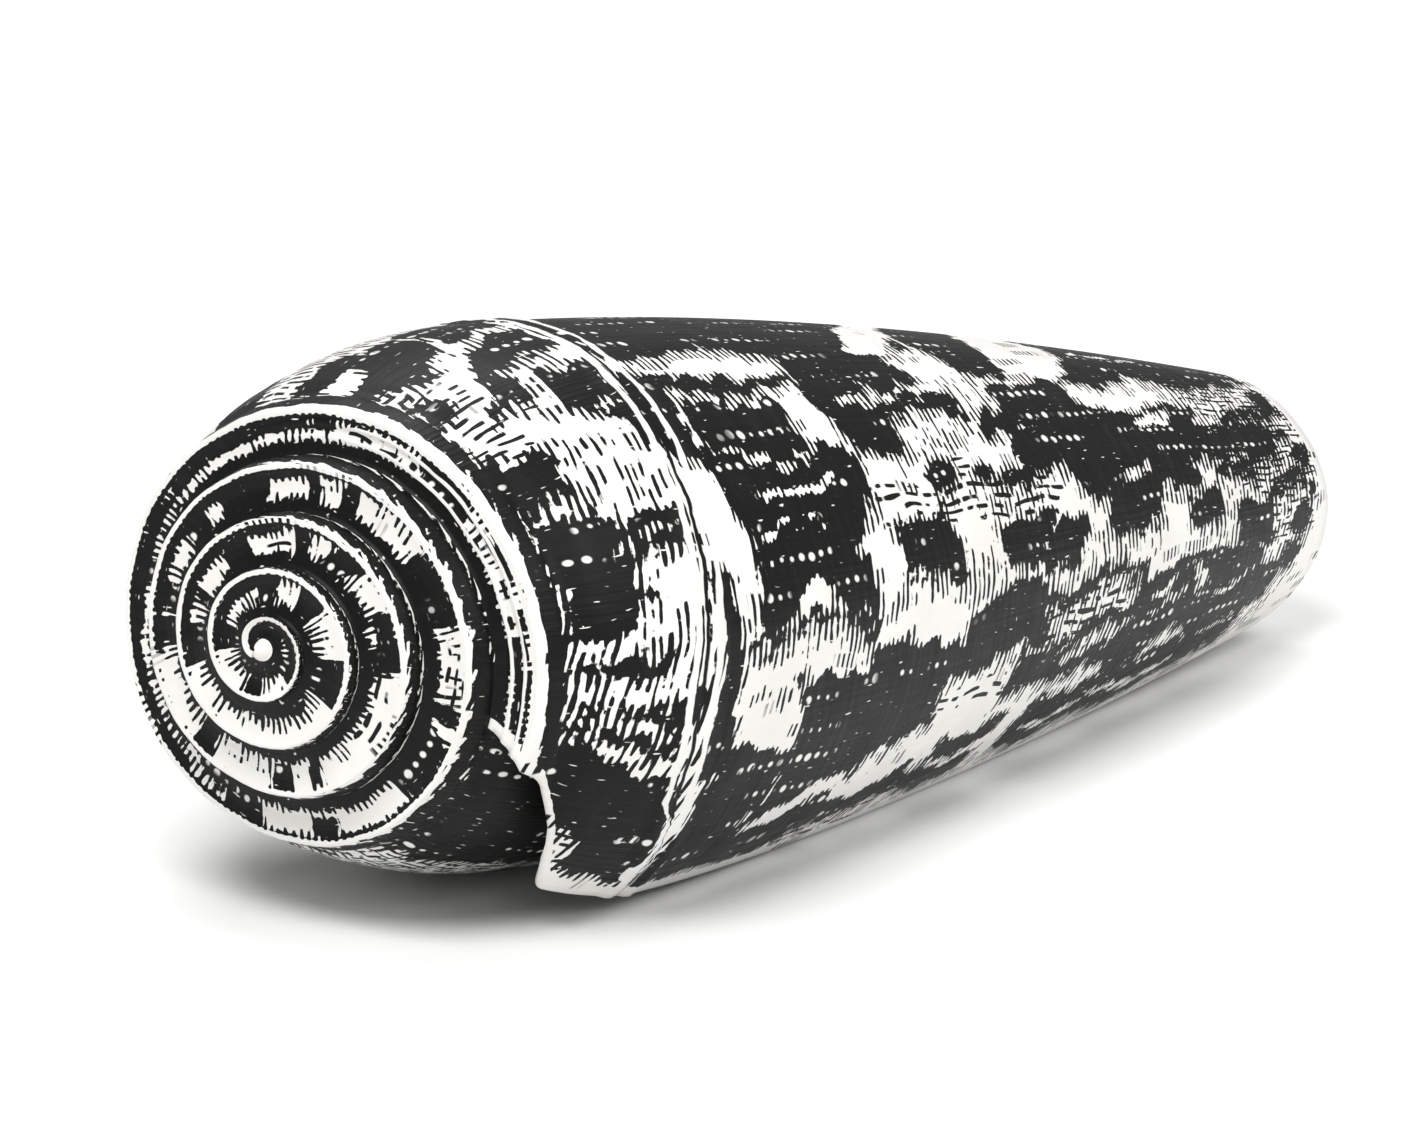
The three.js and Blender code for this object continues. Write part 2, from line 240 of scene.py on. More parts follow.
BODY_PATCHES = (
    (DARK, 11, 24, 1.2, 4, 0),
    (CROSS, 24, 34, 0.8, 2, 0),
    (DARK, 11.3, 17.5, 3.8, 9.6, 0),
    (DARK, 23, 34, 2.4, 4.8, 0),
    (DARK, 35, 43.5, 2.2, 6.4, 0.3),
    (HATCH, 33, 46, 0.8, 2.4, 0),
    (LIGHT, 33.5, 44, 4.2, 4.9, 0),
    (DARK, 18, 27.8, 5, 12.9, 0),
    (DARK, 27, 33.6, 7.8, 12.8, 0),
    (LIGHT, 18.5, 24, 3.9, 5.1, 0),
    (LIGHT, 23.5, 33, 4.7, 5.9, 0),
    (HATCH, 13, 20, 12.2, 13, 0),
    (DARK, 24.2, 28.3, 12.5, 14.2, 0),
    (DARK, 10.3, 11.7, 8, 19.4, 0.02),
    (HATCH, 11.6, 14.2, 14.8, 17.4, 0),
    (HATCH, 14, 25, 14.2, 15, 0),
    (DARK, 13, 25, 15.4, 16, 0),
    (DARK, 14, 25.6, 16.5, 25, 0),
    (DARK, 25, 27, 21.6, 24.8, 0),
    (LIGHT, 17.2, 20.8, 16.2, 17.6, 0),
    (DARK, 15.4, 24, 25, 29, 0),
    (DARK, 12, 14.8, 25.6, 31, 0.2),
    (DARK, 14, 22, 29.6, 31.4, -0.3),
    (DARK, 22, 28.5, 29.7, 30.5, 0),
    (DARK, 14, 44, 33, 43, 0),
    (DARK, 33.2, 44.4, 11.2, 13.2, 0),
    (DARK, 35, 44.4, 13, 15.1, 0),
    (STACK, 33.8, 41, 8.6, 9.7, 0),
    (DARK, 41.2, 46.5, 8.4, 10.6, 0),
    (DARK, 44, 55, 10.6, 11.5, 0),
    (CROSS, 44, 56, 11.5, 14, 0),
    (DARK, 44, 56, 13.9, 14.9, 0),
    (DARK, 46, 56, 8, 9.3, 0),
    (HATCH, 26, 44, 15.4, 16.8, 0),
    (DARK, 29.3, 34.6, 17, 20, 0),
    (DARK, 28.5, 34.4, 19.8, 20.7, 0),
    (STACK, 27, 47, 20, 23, 0),
    (HATCH, 35.5, 40, 16, 18.4, 0),
    (DARK, 39.5, 45.3, 16.2, 19.6, 0),
    (HATCH, 39, 46, 17, 21.8, 0),
    (DARK, 45.4, 49, 16.6, 18.6, 0.5),
    (HATCH, 45, 53.5, 15.6, 18.4, 0),
    (DARK, 34.3, 37, 21.6, 23.4, 0),
    (HATCH, 34.6, 39.4, 23.2, 25.4, 0),
    (DARK, 39.4, 44.6, 22.2, 23.2, 0.4),
    (DARK, 42.6, 45.4, 25.8, 27.4, 0.5),
    (DARK, 28.2, 33.5, 25, 30, 0),
    (DARK, 33, 42, 27, 28.5, 0),
    (DARK, 34.3, 38, 28.8, 31.4, 0),
    (HATCH, 38, 46.5, 28.2, 29.8, 0),
    (DARK, 28.4, 40, 30, 33.5, 0),
    (DARK, 43.5, 47, 25.8, 27, 0.6),
    (DARK, 44.5, 50, 22, 25, 0.7),
    (DARK, 46.6, 56, 25.4, 29.6, 0.15),
    (DARK, 45.5, 50.5, 30.6, 33, 0.4),
    (DARK, 47, 54, 33, 42, 0.6),
    (DARK, 46.5, 70, 2.4, 6.6, 0),
    (LIGHT, 48, 66, 4.1, 4.8, 0),
    (HATCH, 46, 72, 0.8, 2.2, 0),
    (DARK, 70, 74.5, 3.6, 6.4, -0.4),
    (HATCH, 72, 78, 4, 9, 0),
    (DARK, 55, 60, 7, 11, 0),
    (DARK, 60, 76, 8.2, 10.6, 0),
    (DARK, 64, 76, 6.8, 9, 0),
    (DARK, 55, 73, 11.3, 14.2, 0),
    (LIGHT, 57, 61, 12.4, 13, 0),
    (LIGHT, 63.5, 66, 11.8, 12.8, 0),
    (DARK, 69.5, 75, 13.6, 17.4, 0),
    (HATCH, 64, 70, 15, 18, 0),
    (HATCH, 72, 79, 10.4, 13, 0),
    (DARK, 76, 79, 10.6, 12.4, 0.3),
    (DARK, 78, 80, 13.4, 15.8, 0),
    (CROSS, 74, 80, 13, 19, 0),
    (DARK, 80, 81.5, 16, 17.8, 0),
    (DARK, 75, 79, 18.2, 20, 0),
    (CROSS, 69, 82, 19, 31, 0),
    (DARK, 79.2, 81.6, 19.4, 22.4, 0.2),
    (DARK, 79.6, 81.7, 27, 31, 0),
    (HATCH, 66, 78, 26.6, 30, 0),
    (DARK, 77.4, 80.4, 23.2, 24.6, 0),
    (DARK, 53.3, 60, 17.3, 21, 0.1),
    (DARK, 50, 66, 20.4, 27, 0.2),
    (DARK, 65.5, 68.6, 22.6, 27.2, 0),
    (DARK, 62.8, 67, 16.9, 19.4, 0.25),
    (DARK, 68.6, 73, 19.4, 20.9, 0),
    (DARK, 68.4, 77, 21.6, 25.2, 0.3),
    (DARK, 72, 80, 25.4, 26.6, 0.3),
    (DARK, 52, 55.4, 26.4, 29.6, 0),
    (DARK, 58.5, 66, 30.2, 33.8, 0.5),
    (DARK, 60.5, 82, 32.8, 43, 0),
    (LIGHT, 63, 71, 34.6, 35.2, 1.2),
    (DARK, 66, 78.5, 30.6, 34, 0.2),
    (LIGHT, 39, 44.5, 33, 38, 0.9),
    (LIGHT, 53.4, 59.6, 31, 35.4, 0.3),
    (LIGHT, 15, 21.6, 20.7, 21.3, 0),
    (LIGHT, 24.4, 28, 19.5, 20.4, 0),
    (LIGHT, 17, 24.6, 22.8, 23.5, 0),
    (LIGHT, 16.4, 24, 24.8, 25.4, 0),
    (LIGHT, 23.8, 28, 25.4, 27.4, 0),
    (LIGHT, 15.4, 26, 28.9, 29.6, 0),
    (LIGHT, 15, 28, 31, 32, 0),
    (LIGHT, 56, 60, 20.6, 21.3, 0),
    (LIGHT, 61, 66, 25.4, 26.4, 0),
    (LIGHT, 30, 38, 28.4, 29, 0),
    # Painted shade: these cross-hatched, hatched and dark patches, 76 to 120 hundredths back, darken
    # the whorl seen under the spire, beyond the lip's notch.
    (CROSS, 0.5, 30, 76, 97, 0),
    (HATCH, 0.5, 30, 82, 97, 0),
    (DARK, 0.8, 34, 96, 120, 0),
)

# On the ramps, from and to are hundredths of a turn back from the lip; start and end are shares of
# the ramp's width, from its root to the ridge; slant is in hundredths of a turn across the ramp.
RAMP_PATCHES = (
    (CROSS, 9.5, 14.6, 0.1, 0.9, 0),
    (DARK, 10, 15, 0.72, 0.92, 0),
    (STACK, 16, 26, 0.66, 0.9, 0),
    (DARK, 10.5, 14.6, 0.42, 0.58, 0),
    (DARK, 15, 17.2, 0.15, 0.55, 0),
    (DARK, 17.6, 19, 0.72, 0.9, 0),
    (DARK, 21, 23.6, 0.7, 0.88, 1),
    (CROSS, 17.4, 26, 0, 0.4, 0),
    (CROSS, 20, 26, 0.4, 0.75, 0),
    (DARK, 26.4, 31, 0, 0.94, 1),
    (HATCH, 31.6, 42, 0.74, 0.9, 0),
    (CROSS, 32, 37.4, 0.12, 0.5, 0),
    (HATCH, 37, 53, 0, 0.36, 0),
    # Painted shade: this band and the like bands at about 40 to 68 hundredths back in the whorls before
    # darken the channel inside the ridge.
    (DARK, 39, 66, 0.5, 0.72, 0),
    (DARK, 54.6, 58, 0, 0.28, 1),
    (DARK, 60, 62.2, 0, 0.6, 1),
    (HATCH, 62.2, 66, 0, 0.45, 0),
    (DARK, 65.4, 75, 0, 0.32, 0),
    (DARK, 60, 78, 0.64, 0.93, 0),
    (DARK, 74, 82.4, 0, 0.5, 0),
    (LIGHT, 76.6, 78.4, 0.3, 0.46, 0),
    (DARK, 82, 85.6, 0, 0.92, 2),
    (HATCH, 85, 101, 0, 0.3, 0),
    (DARK, 76, 108, 0.82, 0.96, 0),
    (DARK, 91.3, 93.6, 0.4, 0.86, 0),

    (DARK, 101.5, 105, 0, 0.6, 0),
    (DARK, 103, 108.4, 0, 0.84, -3),
    (DARK, 109.6, 111, 0, 0.9, 0),
    (CROSS, 110.6, 118.6, 0.1, 0.86, 0),
    (DARK, 118.6, 125.4, 0, 0.86, 0),
    (HATCH, 126, 133, 0.6, 0.9, 0),
    (DARK, 133.4, 134.6, 0.1, 0.9, 1),
    (HATCH, 134, 143, 0.6, 0.9, 0),
    (DARK, 137.4, 138.4, 0, 0.8, 1),
    (DARK, 143.6, 149.4, 0, 0.9, -1),
    (DARK, 151.8, 155, 0, 0.9, 0),
    # Painted shade in the channel inside the ridge.
    (DARK, 140, 168, 0.68, 0.9, 0),
    (DARK, 160.4, 163, 0, 0.9, 1),
    (DARK, 164.4, 167, 0.2, 0.9, 1),
    (DARK, 158, 178, 0, 0.25, 0),
    (HATCH, 168, 176, 0.2, 0.5, 0),
    (DARK, 177.4, 180, 0, 0.92, 1),
    (HATCH, 180, 200, 0.1, 0.5, 0),
    (DARK, 188.6, 191, 0.3, 0.86, 0),
    (DARK, 194.2, 195.4, 0.1, 0.8, 0),

    (HATCH, 200, 213, 0, 0.3, 0),
    (STACK, 203, 213, 0.4, 0.62, 0),
    (DARK, 212.6, 216.6, 0, 0.5, 1),
    (DARK, 214, 221, 0.4, 0.94, 0),
    (DARK, 228, 232, 0, 0.94, -4),
    (DARK, 220, 236, 0, 0.24, 0),
    (DARK, 235.4, 237.2, 0, 0.94, 1),
    (STACK, 238, 246, 0.1, 0.4, 0),
    # Painted shade in the channel inside the ridge.
    (DARK, 240, 268, 0.68, 0.9, 0),
    (DARK, 245.4, 250.4, 0, 0.7, 3),
    (DARK, 257.6, 260, 0, 0.6, 0),
    (DARK, 263.4, 269.6, 0.1, 0.94, 2),
    (DARK, 270, 300, 0, 0.34, 0),
    (HATCH, 276, 300, 0.3, 0.55, 0),

    (HATCH, 300, 305, 0.1, 0.5, 0),
    (DARK, 300, 345, 0, 0.2, 0),
    (DARK, 305, 313.6, 0.1, 0.94, 1),
    (HATCH, 314, 325, 0.2, 0.6, 0),
    (DARK, 325.4, 330.4, 0, 0.94, 0),
    (HATCH, 330.6, 338, 0.2, 0.6, 0),
    (DARK, 338, 343.6, 0, 0.94, 1),
    # Painted shade in the channel inside the ridge.
    (DARK, 343, 362, 0.64, 0.9, 0),
    (DARK, 343, 372, 0, 0.28, 0),
    (DARK, 360, 367, 0, 0.94, 2),
    (DARK, 372, 404, 0.05, 0.45, 0),
    (DARK, 382, 388, 0, 0.94, 2),
    (DARK, 402, 410, 0, 0.94, 2),
    (DARK, 410, 440, 0.5, 0.9, 0),
    (DARK, 426, 434, 0, 0.94, 2),
    (DARK, 440, 475, 0.3, 0.9, 0),
)

# Rows of patches cover the rest of the side. Their sizes are in the same units, least and most.
SEED = 7
HIDDEN_BACK = (43, 74)       # the first row starts and the last one ends about here
HIDDEN_ROW_HEIGHT = (3, 7)
HIDDEN_ROW_GAP = (0.2, 1.4)
HIDDEN_ROW_START = (0, 7)
HIDDEN_LENGTH = (4, 15)
HIDDEN_GAP = (1.2, 5)
HIDDEN_SHIFT = (-1.5, 1.5)   # a patch lies this far off its row
HIDDEN_SLANT = (-0.3, 0.3)
HATCHED_SHARE = 0.2

# Noises: the size of a grain in x and in y, detail, and layer. Where x or y counts rows or columns,
# grains smaller than 1 give each of them a value of its own.
NOISE_SPAN = 4.0             # stretches a noise to about -1 to 1
MOST_NOISE = (-0.8, 0.8)     # nearly all of its values lie between these
RAGGED = (1.1, 0.8, 3.0, 0.0)
COMB_WANDER = (2.2, 4.0, 1.0, 7.0)
COMB_LENGTH = (0.37, 1.3, 1.0, 8.0)
STACK_WANDER = (2.2, 4.0, 1.0, 17.0)
STACK_LENGTH = (0.37, 1.3, 1.0, 18.0)
DOT_WANDER = (9.0, 9.0, 1.0, 3.0)
DOT_SHIFT = (0.41, 0.43, 1.0, 5.0)
DOT_SIZE = (0.47, 0.37, 1.0, 21.0)
DOT_GAPS = (6.0, 0.29, 1.0, 31.0)
TICK_WANDER = (6.0, 6.0, 1.0, 41.0)
TICK_GAPS = (6.0, 0.43, 1.0, 43.0)
RING_WAVER = (3.0, 2.0, 2.0, 47.0)
CLOUDS = (6.0, 9.0, 3.0, 51.0)
WORN_INK = (1.5, 4.0, 3.0, 53.0)
SPECKS = (0.9, 0.2, 1.0, 59.0)
WORN_GLOSS = (2.5, 2.5, 4.0, 61.0)
GROWTH_LINES = (9.0, 0.35, 2.0, 71.0)
THREADS = (0.5, 14.0, 1.0, 73.0)

# Pigment, in mm. Pairs are where something starts and where it is complete, unless said otherwise.
RAGGED_REACH = 0.3           # the patches' outlines are ragged by this much
EDGE_BLUR = 0.04
COMB_SPACING = 0.52          # between strokes round the shell
STACK_SPACING = 0.6          # between strokes along it
STROKE_LEAN = 0.2            # slope of the strokes round the shell
STROKE_WANDER = 0.45         # as a share of the spacing
STROKE_EDGE = (0.12, 0.36)   # from a stroke's middle, as a share of the spacing
STROKE_GAP = -0.35           # between two strokes, this share of their reach is taken off the dark
STROKE_REACH = (0.02, 0.56)  # least and most
DOT_SPACING = (0.95, 1.7)    # along a row, and between rows
DOT_ROW_WANDER = 0.2         # as a share of the spacing
DOT_OFF_ROW = 0.12
DOT_RADIUS = (0.09, 0.24)    # least and most
DOT_LENGTH = 1.35            # the dots are this much longer than wide
DOT_BLUR = 0.05
DOT_PRESENT = (0.0, 0.15)    # value of the noise
DOT_DEPTH = (0.35, 0.6)      # depth inside the dark
TICK_SPACING = 1.7           # between rows
TICK_ROW_WANDER = 0.5        # as a share of the spacing
TICK_END = (0.2, 0.28)       # from a row's middle, as a share of the spacing
TICK_PRESENT = (0.3, 0.42)   # value of the noise
TICK_EDGE = (0.3, 0.7)       # value of the stroke
RING_WAVERING = 0.2
RING_CORE = 0.7              # share of a light ring's width that is fully light
MIDDLE_CORE = 0.6            # the same for the dark line
SPECK_EDGE = (0.85, 1.05)    # value of the noise
SPECK_DARK = 0.1             # how dark the ink is in a worn speck

# Colour and surface
IVORY = (0.87, 0.86, 0.83, 1)
IVORY_SHADE = (0.8, 0.785, 0.75, 1)
PORCELAIN = (0.86, 0.84, 0.8, 1)
INK = (0.0045, 0.0042, 0.004, 1)
INK_WORN = (0.011, 0.0105, 0.010, 1)
WORN_EDGE = (0.0, 1.4)       # value of the noise
ROUGHNESS = (0.32, 0.45)     # of the light ground and of the ink
ROUGHNESS_CHANGE = 0.05
SPECULAR = 0.17
THREAD_HEIGHT = 0.5          # over the height of the growth lines
INK_HEIGHT = 0.6
BUMP_HEIGHT = 0.000012       # in metres
MIX_INPUTS = (0, 6, 7)       # sockets of a node that mixes colours: the factor and the two colours
MIX_OUTPUT = 2

# Stage, in metres and degrees
FLOOR_SIZE = 6.0
FLOOR_COLOUR = (0.9, 0.9, 0.895, 1)
FLOOR_ROUGHNESS = 0.9
FLOOR_SPECULAR = 0.1
CAMERA_AZIMUTH = -52.8
CAMERA_ELEVATION = 14.0
CAMERA_DISTANCE = 0.45
VIEW_WIDTH = 0.0801        # width of the view where the shell is
SENSOR = 36.0
AIM_RIGHT = -0.0039
AIM_UP = -0.0035
LIGHT_DISTANCE = 0.9
LIGHTS = (                 # name, azimuth, elevation, size, power in watts
    ("key", -75, 58, 0.5, 6),
    ("fill", 5, 40, 0.6, 3),
    ("back", 140, 60, 0.6, 3),
)
WORLD_STRENGTH = 0.35


def mix(a, b, t):
    return a + (b - a) * t


def smooth(t):
    t = np.clip(t, 0, 1)
    return t * t * (3 - 2 * t)


def bump(t):
    """1 at 0, falling off smoothly to either side."""
    return np.exp(-t * t)


def row_shares():
    """The share of the side, 0 at the ridge and 1 at the front end, that each row follows."""
    shares = np.zeros(FRONT_ROW + 1)
    shares[CREST_ROW : SUTURE_ROW + 1] = np.linspace(0, SUTURE_SHARE, CREST_ROWS + 1)
    shares[SUTURE_ROW : ROOT_ROW + 1] = np.linspace(SUTURE_SHARE, ROOT_SHARE, WALL_ROWS + 1)
    shares[ROOT_ROW:] = mix(ROOT_SHARE, 1, np.linspace(0, 1, BODY_ROWS + 1) ** ROW_SPREAD)
    return shares


SHARES = row_shares()


def growth(turn, ratio):
    """A length at some turn (0 at the lip, negative before it) over the same length at the lip."""
    power = np.log(ratio) / math.log((WHORLS - 1) / WHORLS)
    return ((turn + WHORLS) / WHORLS) ** power


def side_radius(share):
    rise = 1 - np.clip(1 - share / WIDEST_SHARE, 0, 1) ** SHOULDER_POWER
    fall = np.clip((share - WIDEST_SHARE) / (1 - WIDEST_SHARE), 0, 1) ** TAPER_POWER
    return mix(RIDGE_RADIUS, WIDEST_RADIUS, rise) + (FRONT_RADIUS - WIDEST_RADIUS) * fall


def side_point(share, turn, front_end=LENGTH):
    """A point of a whorl's outline: x along the axis from the apex, r from the axis."""
    ratio = mix(RATIO_RIDGE, RATIO_FRONT, share**RATIO_CURVE)
    ridge = SPIRE_HEIGHT * ((turn + WHORLS) / WHORLS) ** SPIRE_CURVE
    keel = KEEL_HEIGHT * growth(turn, RATIO_RIDGE) * bump(share / KEEL_SHARE)
    x = ridge + (front_end - ridge) * share ** (1 + CROWDING * turn * turn) - keel
    return x, side_radius(share) * growth(turn, ratio)


def turn_at(step, row):
    """The turn that a row has reached at a step. The growth lines lean forward from the suture."""
    on_ramp = RAMP_SWEEP * np.minimum(1, row / CREST_ROW)
    forward = mix(on_ramp, 1, smooth(SHARES[row] / LIP_SWEEP_SHARE))
    lead = LIP_SWEEP * forward * (1 - smooth(step / TURN_STEPS / SWEEP_FADE))
    return lead - LIP_SWEEP - step / TURN_STEPS


def front_end_at(step):
    corner = np.maximum(0, 1 - step / (CORNER_TURN * TURN_STEPS))
    return LENGTH - CORNER_DROP * corner * corner


def ramp_root(step):
    """The inner edge of a ramp. The first whorl's ramp has none and closes in on the nub."""
    before = np.minimum(step + TURN_STEPS, APEX_STEP)
    x, r = side_point(SUTURE_SHARE, turn_at(before, SUTURE_ROW))
    missing = (step + TURN_STEPS - before) / TURN_STEPS
    return x, r * (1 - NUB_CLOSING * missing)


def scar_offset(along, turn):
    """How far a point lies along from the middle of the scar, in millimetres."""
    drift = smooth(-turn / SCAR_TURN) ** SCAR_CURVE
    return along - SCAR_PLACE - SCAR_DRIFT * drift - SCAR_BEND * bump(turn / SCAR_BEND_TURN)


def from_ridge(share, turn):
    """How far along a point of the side lies from the ridge, in millimetres."""
    return share * (LENGTH - side_point(0, turn)[0])


def keel_line(turn):
    return KEEL_LINE * (1 + bump(turn / KEEL_WIDENING))


def side_relief(share, turn):
    rings = bump((np.abs(scar_offset(from_ridge(share, turn), turn)) - SCAR_GAP) / SCAR_WIDTH)
    groove = bump((share - GROOVE_SHARE) / GROOVE_WIDTH)
    return SCAR_HEIGHT * rings - GROOVE_DEPTH * groove


def cord_fade(turn):
    """0 where the ramp has its cords, 1 where they have faded."""
    return smooth((-turn - CORD_TURNS) / CORD_FADE)


def outline(step, row):
    turn = turn_at(step, row)
    x, r = side_point(SHARES[row], turn, front_end_at(step))
    across = np.minimum(1, row / CREST_ROW)
    root_x, root_r = ramp_root(step)
    crest_x, crest_r = side_point(0, turn)
    hollow = CHANNEL_DEPTH * (crest_r - root_r) * np.sin(math.pi * across)
    cords = sum(bump((across - place) / CORD_WIDTH) for place in CORD_PLACES)
    hollow = hollow - CORD_HEIGHT * cords * (1 - cord_fade(turn))
    waves = 1 + sum(height * np.sin(2 * math.pi * count * turn) for count, height in WAVES)
    on_ramp = row < CREST_ROW
    x = np.where(on_ramp, mix(root_x, crest_x, across**RAMP_CURVE) + hollow, x)
    r = np.where(on_ramp, mix(root_r, crest_r, across), r + side_relief(SHARES[row], turn))
    return x, r * waves


def inside_side(step, row):
    """The inside of the wall below the channel's corner, one wall inside the shell's side."""
    turn = turn_at(step, row)
    x, r = side_point(SHARES[row], turn, front_end_at(step))
    before_r = side_point(SHARES[row], turn - 1, front_end_at(step))[1]
    along = step / CHANNEL_STEPS
    wall = mix(LIP_WALL, WALL, smooth(along / LIP_THICKENING))
    closing = CHANNEL_CLOSING * smooth((along - CHANNEL_FADE) / (1 - CHANNEL_FADE))
    return x, r - wall - closing * (r - before_r - wall)


def inside_outline(step, row):
    """The inside of the wall, from the whorl before, round the channel's corner and down the side."""
    corner_row = np.argmax(SHARES >= CORNER_SHARE)
    start = side_point(ROOT_SHARE, turn_at(step, row) - 1)
    end = inside_side(step, corner_row)
    bend = mix(start[0], end[0], CORNER_BEND_X), mix(start[1], end[1], CORNER_BEND_R)
    t = np.minimum(1, row / corner_row)
    side = inside_side(step, row)
    in_corner = row < corner_row
    curve = [(1 - t) ** 2 * a + 2 * t * (1 - t) * b + t * t * c for a, b, c in zip(start, bend, end)]
    return np.where(in_corner, curve[0], side[0]), np.where(in_corner, curve[1], side[1])


def place(x, r, turn):
    angle = 2 * math.pi * (LIP_AZIMUTH + turn)
    x, y, z = np.broadcast_arrays(x, WIDTH_OVER_HEIGHT * r * np.cos(angle), r * np.sin(angle))
    return np.stack([x, y, z], axis=-1)


def box_depth(patch, u, v, scales, edges):
    """Depth inside a patch in millimetres, negative outside it. Scales turn u and v to millimetres."""
    tone, low, high, start, end, slant = patch
    near, far = edges
    if tone == LIGHT:
        near = far = LIGHT_CRISP
    if tone in (HATCH, STACK, CROSS):
        near = far = CRISP
    shifted = u - slant * (v - (start + end) / 2)
    beside = (np.abs(shifted - (low + high) / 2) - (high - low) / 2) * scales[0]
    around = np.maximum((start - v) * near, (v - end) * far) * scales[1]
    outside = np.hypot(np.maximum(beside, 0), np.maximum(around, 0))
    return -outside - np.minimum(np.maximum(beside, around), 0)


def paint(patches, ground, u, v, scales, edges):
    """Depth inside the dark, and inside the strokes along the shell, after all patches in order."""
    depth = ground + 0 * (u + v)
    stacked = BARE + 0 * (u + v)
    for patch in patches:
        tone = patch[0]
        inside = box_depth(patch, u, v, scales, edges)
        hatched = np.minimum(inside, HATCH_DEPTH)
        if tone == DARK:
            depth = np.maximum(depth, inside + SPREAD)
        if tone == LIGHT:
            depth = np.minimum(depth, -inside)
            stacked = np.minimum(stacked, -inside)
        if tone in (HATCH, CROSS):
            depth = np.maximum(depth, hatched)
        if tone in (STACK, CROSS):
            stacked = np.maximum(stacked, hatched)
    return depth, stacked


def wavering(u, v):
    """The same place, a little off, so that the patches' outlines waver."""
    off_u = sum(size * np.sin(rate_u * u + rate_v * v) for rate_u, rate_v, size in WAVERS)
    off_v = sum(size * np.cos(rate_v * u - rate_u * v) for rate_u, rate_v, size in WAVERS)
    return u + off_u, v + off_v


def scattered_patches():
    """The patches on the rest of the side, in the manner of those that are listed above."""
    chance = random.Random(SEED)
    patches = []
    back, last = HIDDEN_BACK
    while back < last:
        height = chance.uniform(*HIDDEN_ROW_HEIGHT)
        low = chance.uniform(*HIDDEN_ROW_START)
        while low < LENGTH - SPIRE_HEIGHT:
            high = low + chance.uniform(*HIDDEN_LENGTH)
            tone = HATCH if chance.random() < HATCHED_SHARE else DARK
            start = back + chance.uniform(*HIDDEN_SHIFT)
            patches.append((tone, low, high, start, start + height, chance.uniform(*HIDDEN_SLANT)))
            low = high + chance.uniform(*HIDDEN_GAP)
        back += height + chance.uniform(*HIDDEN_ROW_GAP)
    return patches


def side_marks(step, row):
    """Where points of the side lie in the pattern, and their depth inside the dark, with a painted
    shadow line below the ridge.
    """
    turn = turn_at(step, row)
    share = SHARES[row]
    along = from_ridge(share, turn)
    turn_length = 2 * math.pi * WIDTH_OVER_HEIGHT * side_point(share, turn)[1]
    u, v = wavering(along, -HUNDREDTHS * turn)
    scales = 1, turn_length / HUNDREDTHS
    depth, stacked = paint(SIDE_PATCHES, BARE, u, v, scales, (FEATHERED, CRISP))
    from_lip = step / TURN_STEPS * turn_length
    from_front = from_ridge(1 - share, turn)
    # Painted shadow: a dark line on the step below the ridge.
    depth = np.maximum(depth, WALL_SHADOW_LINE - np.abs(along - WALL_SHADOW_PLACE))
    inside_rims = np.minimum(from_lip, from_front) - RIM_WIDTH
    light_lines = SHARP * np.minimum(inside_rims, along - keel_line(turn))
    depth = np.minimum(depth, light_lines)
    stacked = np.minimum(stacked, light_lines)
    start, end = SCAR_START
    faded = 1 - smooth((-turn - start) / (end - start))
    ring = scar_offset(along, turn) / SCAR_GAP * (1 + NO_RING * faded)
    porcelain = smooth((-turn - 1 - LIP_SWEEP) / PILLAR_FADE) * (share > ROOT_SHARE)
    return stack_marks(along, -turn * MEAN_TURN_LENGTH, ring, depth, porcelain, stacked)


def arc_length(turn):
    """The length of the ridge from the coil's start."""
    power = math.log(RATIO_RIDGE) / math.log((WHORLS - 1) / WHORLS) + 1
    full = 2 * math.pi * WIDTH_OVER_HEIGHT * RIDGE_RADIUS * WHORLS / power
    return full * ((turn + WHORLS) / WHORLS) ** power


def ramp_marks(step, row):
    """The same for points of the ramps, where the strokes run from the root to the ridge, with painted
    shadow at the root and painted shade inside the ridge.
    """
    turn = turn_at(step, row)
    across = row / CREST_ROW
    crest_r = side_point(0, turn)[1]
    width = crest_r - ramp_root(step)[1]
    turn_length = 2 * math.pi * WIDTH_OVER_HEIGHT * crest_r
    ground = mix(*RAMP_GROUND, across)
    scales = turn_length / HUNDREDTHS, width
    back = -HUNDREDTHS * turn
    depth, stacked = paint(RAMP_PATCHES, ground, back, across, scales, (CRISP, FEATHERED))
    # Painted shade: a dark line inside the ridge, in the channel, widest at one place in each whorl.
    from_shade_place = (-turn - CHANNEL_SHADE_PLACE + 0.5) % 1 - 0.5
    line = mix(NO_CHANNEL_SHADE, CHANNEL_SHADE_LINE, bump(from_shade_place / CHANNEL_SHADE_REACH))
    below_ridge = (1 - across) * width - keel_line(turn)
    # Painted shadow: a dark line along the ramp's root, in the suture.
    depth = np.maximum(depth, ROOT_SHADOW_LINE - across * width)
    depth = np.maximum(depth, line - below_ridge)
    from_lip = step / TURN_STEPS * turn_length
    light_lines = SHARP * np.minimum(below_ridge, from_lip - RIM_WIDTH)
    depth = np.minimum(RAMP_CRISP * depth, light_lines)
    stacked = np.minimum(stacked, light_lines)
    ring = np.abs(across - 0.5) / CORD_RANGE + NO_RING * cord_fade(turn)
    return stack_marks(RAMP_PATTERN_START - arc_length(turn), across * width, ring, depth, 0, stacked)


def stack_marks(*values):
    return np.stack(np.broadcast_arrays(*values), axis=-1)


def plain_marks(shape):
    """Marks for the porcelain-white inside."""
    return stack_marks(np.zeros(shape), 0, NO_RING, BARE, 1, BARE)


